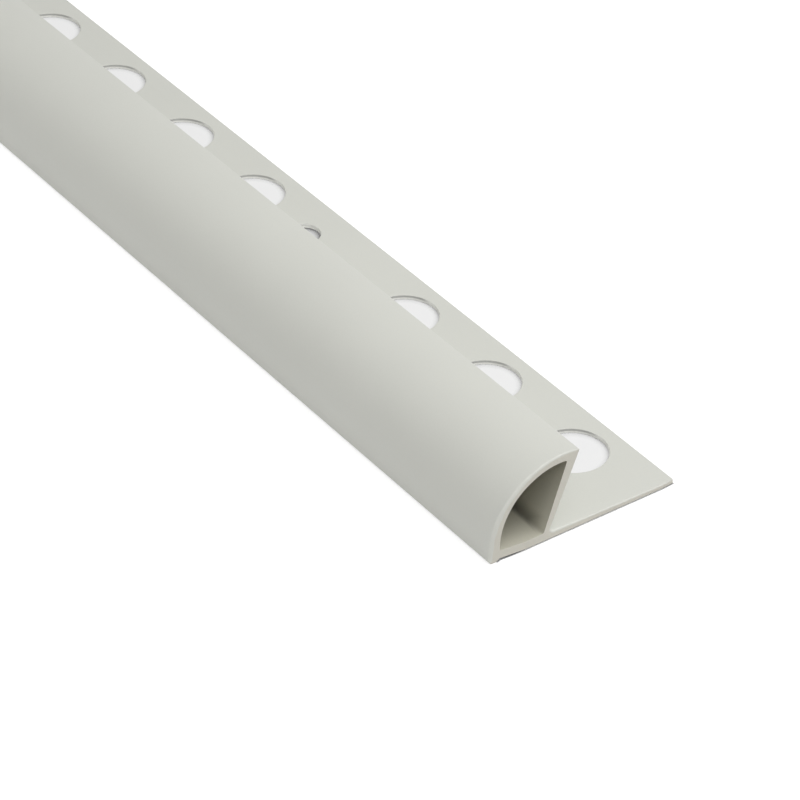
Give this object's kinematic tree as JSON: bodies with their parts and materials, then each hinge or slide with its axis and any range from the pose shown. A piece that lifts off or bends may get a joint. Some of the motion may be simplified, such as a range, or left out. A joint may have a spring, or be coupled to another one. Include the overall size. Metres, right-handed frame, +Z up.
{
  "type": "tile edge trim",
  "caption": "Hollow quarter-round plastic edge trim for wall tiles, with a leaning web behind the round and a thin punched leg that beds under the tile.",
  "frame": {"origin": "middle of the box's bottom face, on the plane that the leg's underside lies on", "axes": "+X along the stock, +Y from the round front to the back edge of the leg, +Z up from the underside"},
  "size_m": [1, 0.0244, 0.0104],
  "materials": {
    "pvc": "smooth satin PVC, light warm grey"
  },
  "bodies": {
    "root": {"tile_trim": "pvc"}
  },
  "joints": []
}
